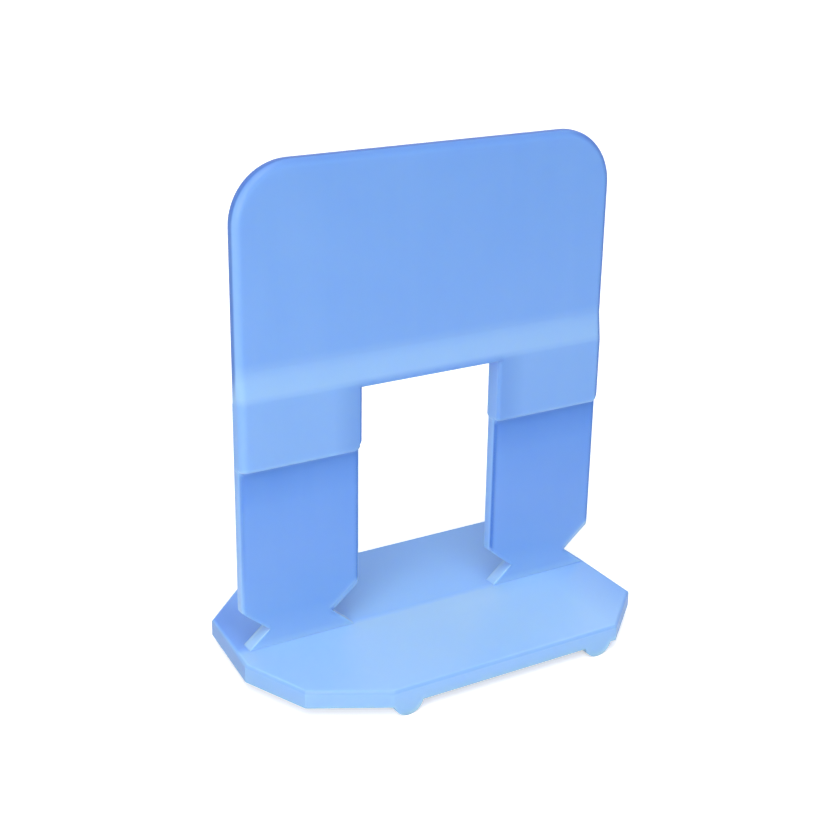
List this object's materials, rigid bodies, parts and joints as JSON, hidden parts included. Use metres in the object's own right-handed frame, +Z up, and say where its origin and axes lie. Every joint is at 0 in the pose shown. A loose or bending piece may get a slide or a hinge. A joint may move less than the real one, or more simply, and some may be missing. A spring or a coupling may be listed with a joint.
{
  "type": "tile leveling clip",
  "caption": "Light blue moulded clip: an upright plate with a wedge window stands on a flat base, and notched legs set the joint width and the break line.",
  "frame": {"origin": "on the floor plane under the ribs, below the middle of the upright frame", "axes": "+X along the frame from its left leg to its right leg, +Y through the frame from front to back, +Z up"},
  "size_m": [0.0443, 0.029, 0.0536],
  "materials": {
    "clip_plastic": "satin moulded polypropylene, light blue"
  },
  "bodies": {
    "root": {"clip": "clip_plastic"}
  },
  "joints": []
}
